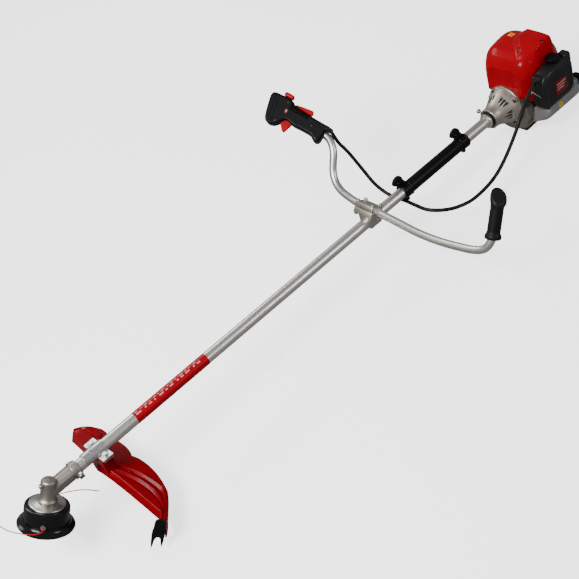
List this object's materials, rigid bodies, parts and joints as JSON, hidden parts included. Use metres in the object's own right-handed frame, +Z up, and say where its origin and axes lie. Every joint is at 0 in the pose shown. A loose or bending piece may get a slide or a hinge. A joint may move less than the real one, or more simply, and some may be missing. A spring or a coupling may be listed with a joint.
{
  "type": "string trimmer",
  "caption": "Engine-driven string trimmer with a line head, guard, straight shaft, bull handlebars with a throttle handle, and a rear engine.",
  "frame": {"origin": "on the floor, at the middle of the box round the rigid pieces, with the machine lying on its guard's skirt and its engine's base", "axes": "+X towards the engine, along the shaft as seen from above; +Y to the operator's right; +Z up"},
  "size_m": [1.8355, 0.7192, 0.3737],
  "materials": {
    "bare_aluminium": "satin painted silver",
    "cast_aluminium": "as cast, lightly blasted",
    "zinc_steel": "bright zinc plated",
    "dark_steel": "dark, slightly rough",
    "gear_steel": "machined, oiled",
    "black_plastic": "satin moulded",
    "black_rubber": "matt",
    "red_gloss": "high gloss",
    "red_guard": "semi gloss",
    "red_line": "monofilament",
    "milky_tank": "translucent milky"
  },
  "bodies": {
    "frame": {"air_cleaner_cover": "black_plastic", "bar_bolt_1": "zinc_steel", "bar_bolt_2": "zinc_steel", "bar_bolt_3": "zinc_steel", "bar_bolt_4": "zinc_steel", "bar_bracket_base": "cast_aluminium", "bar_bracket_cap": "cast_aluminium", "base_guard": "black_plastic", "carburettor": "cast_aluminium", "clutch_housing": "cast_aluminium", "crankcase": "dark_steel", "cylinder": "cast_aluminium", "drive_tube": "bare_aluminium", "fuel_tank": "milky_tank", "gear_case": "cast_aluminium", "gear_clamp_bolt": "zinc_steel", "guard": "red_guard", "guard_bolt_left": "zinc_steel", "guard_bolt_right": "zinc_steel", "guard_bracket": "zinc_steel", "handlebar": "bare_aluminium", "hanger_lower": "black_plastic", "hanger_upper": "black_plastic", "line_cutter": "dark_steel", "muffler": "dark_steel", "plain_grip": "black_rubber", "shaft_bush": "black_rubber", "shaft_label": "red_gloss", "shaft_sleeve": "black_rubber", "spindle_bearing": "dark_steel", "starter_housing": "black_plastic", "throttle_cable": "black_rubber", "throttle_shell_far": "black_plastic", "throttle_shell_near": "black_plastic", "top_cover": "red_gloss", "vibration_bush": "black_rubber"},
    "drive": {"drive_shaft": "gear_steel", "pinion_gear": "gear_steel", "clutch_drum": "dark_steel"},
    "head": {"output_spindle": "gear_steel", "crown_gear": "gear_steel", "adapter_dish": "cast_aluminium", "head_housing": "black_plastic", "head_cover": "black_plastic", "line_eyelet_a": "zinc_steel", "line_eyelet_b": "zinc_steel", "line_tail_a": "red_line", "line_tail_b": "red_line", "tap_spring": "zinc_steel"},
    "knob": {"bump_knob": "black_plastic"},
    "line_spool": {"spool": "black_plastic"},
    "crank": {"crankshaft_flywheel": "gear_steel", "clutch_rotor": "dark_steel"},
    "trigger": {"throttle_trigger": "red_gloss"},
    "lockout": {"lockout_lever": "red_gloss"},
    "stop": {"stop_switch": "red_gloss"},
    "choke": {"choke_knob": "black_plastic"},
    "filler_cap": {"fuel_cap": "black_plastic"},
    "pull_grip": {"starter_grip": "black_plastic"},
    "tube_lock": {"tube_lock_knob": "zinc_steel"}
  },
  "joints": [
    {"name": "head_spin", "type": "hinge", "parent": "frame", "child": "head", "pos_m": [-0.81122, 0.0311, 0.18279], "axis": [0.5477, 0, 0.8367], "continuous": true},
    {"name": "drive_spin", "type": "hinge", "parent": "frame", "child": "drive", "pos_m": [-0.81122, 0.0311, 0.18279], "axis": [0.9984, 0, -0.056], "continuous": true},
    {"name": "crank_spin", "type": "hinge", "parent": "frame", "child": "crank", "pos_m": [0.74633, 0.0311, 0.09542], "axis": [0.9984, 0, -0.056], "continuous": true},
    {"name": "tap_slide", "type": "slide", "parent": "head", "child": "knob", "axis": [0.5477, 0, 0.8367], "range_m": [0, 0.004], "stiffness_N_per_m": 1200, "springref_m": -0.004, "deforming": ["tap_spring"]},
    {"name": "spool_turn", "type": "hinge", "parent": "knob", "child": "line_spool", "pos_m": [-0.81122, 0.0311, 0.18279], "axis": [0.5477, 0, 0.8367], "continuous": true},
    {"name": "trigger_pull", "type": "hinge", "parent": "frame", "child": "trigger", "pos_m": [0.22801, 0.30672, 0.31648], "axis": [-0.3859, -0.5436, 0.7454], "range_deg": [0, 18], "stiffness_Nm_per_rad": 0.25, "springref_deg": -11.46},
    {"name": "lockout_press", "type": "hinge", "parent": "frame", "child": "lockout", "pos_m": [0.26802, 0.29419, 0.32805], "axis": [0.3859, 0.5436, -0.7454], "range_deg": [0, 9], "stiffness_Nm_per_rad": 0.15, "springref_deg": -11.46},
    {"name": "stop_slide", "type": "slide", "parent": "frame", "child": "stop", "axis": [0.2082, -0.8384, -0.5037], "range_m": [0, 0.006]},
    {"name": "choke_turn", "type": "hinge", "parent": "frame", "child": "choke", "pos_m": [0.80026, -0.0649, 0.19986], "axis": [0.056, 0, 0.9984], "range_deg": [0, 70]},
    {"name": "cap_turn", "type": "hinge", "parent": "frame", "child": "filler_cap", "pos_m": [-0.8119, -0.0539, 0.17081], "axis": [0.9984, 0, -0.056], "range_deg": [0, 360]},
    {"name": "starter_pull", "type": "slide", "parent": "frame", "child": "pull_grip", "axis": [0, 1, 0], "range_m": [0, 0.65], "stiffness_N_per_m": 12, "springref_m": -0.5},
    {"name": "lock_pull", "type": "slide", "parent": "frame", "child": "tube_lock", "axis": [0.0145, 0.9659, 0.2584], "range_m": [0, 0.004], "stiffness_N_per_m": 800, "springref_m": -0.004}
  ],
  "couplings": [
    {"joint": "drive_spin", "follows": "head_spin", "ratio": -1.4}
  ]
}
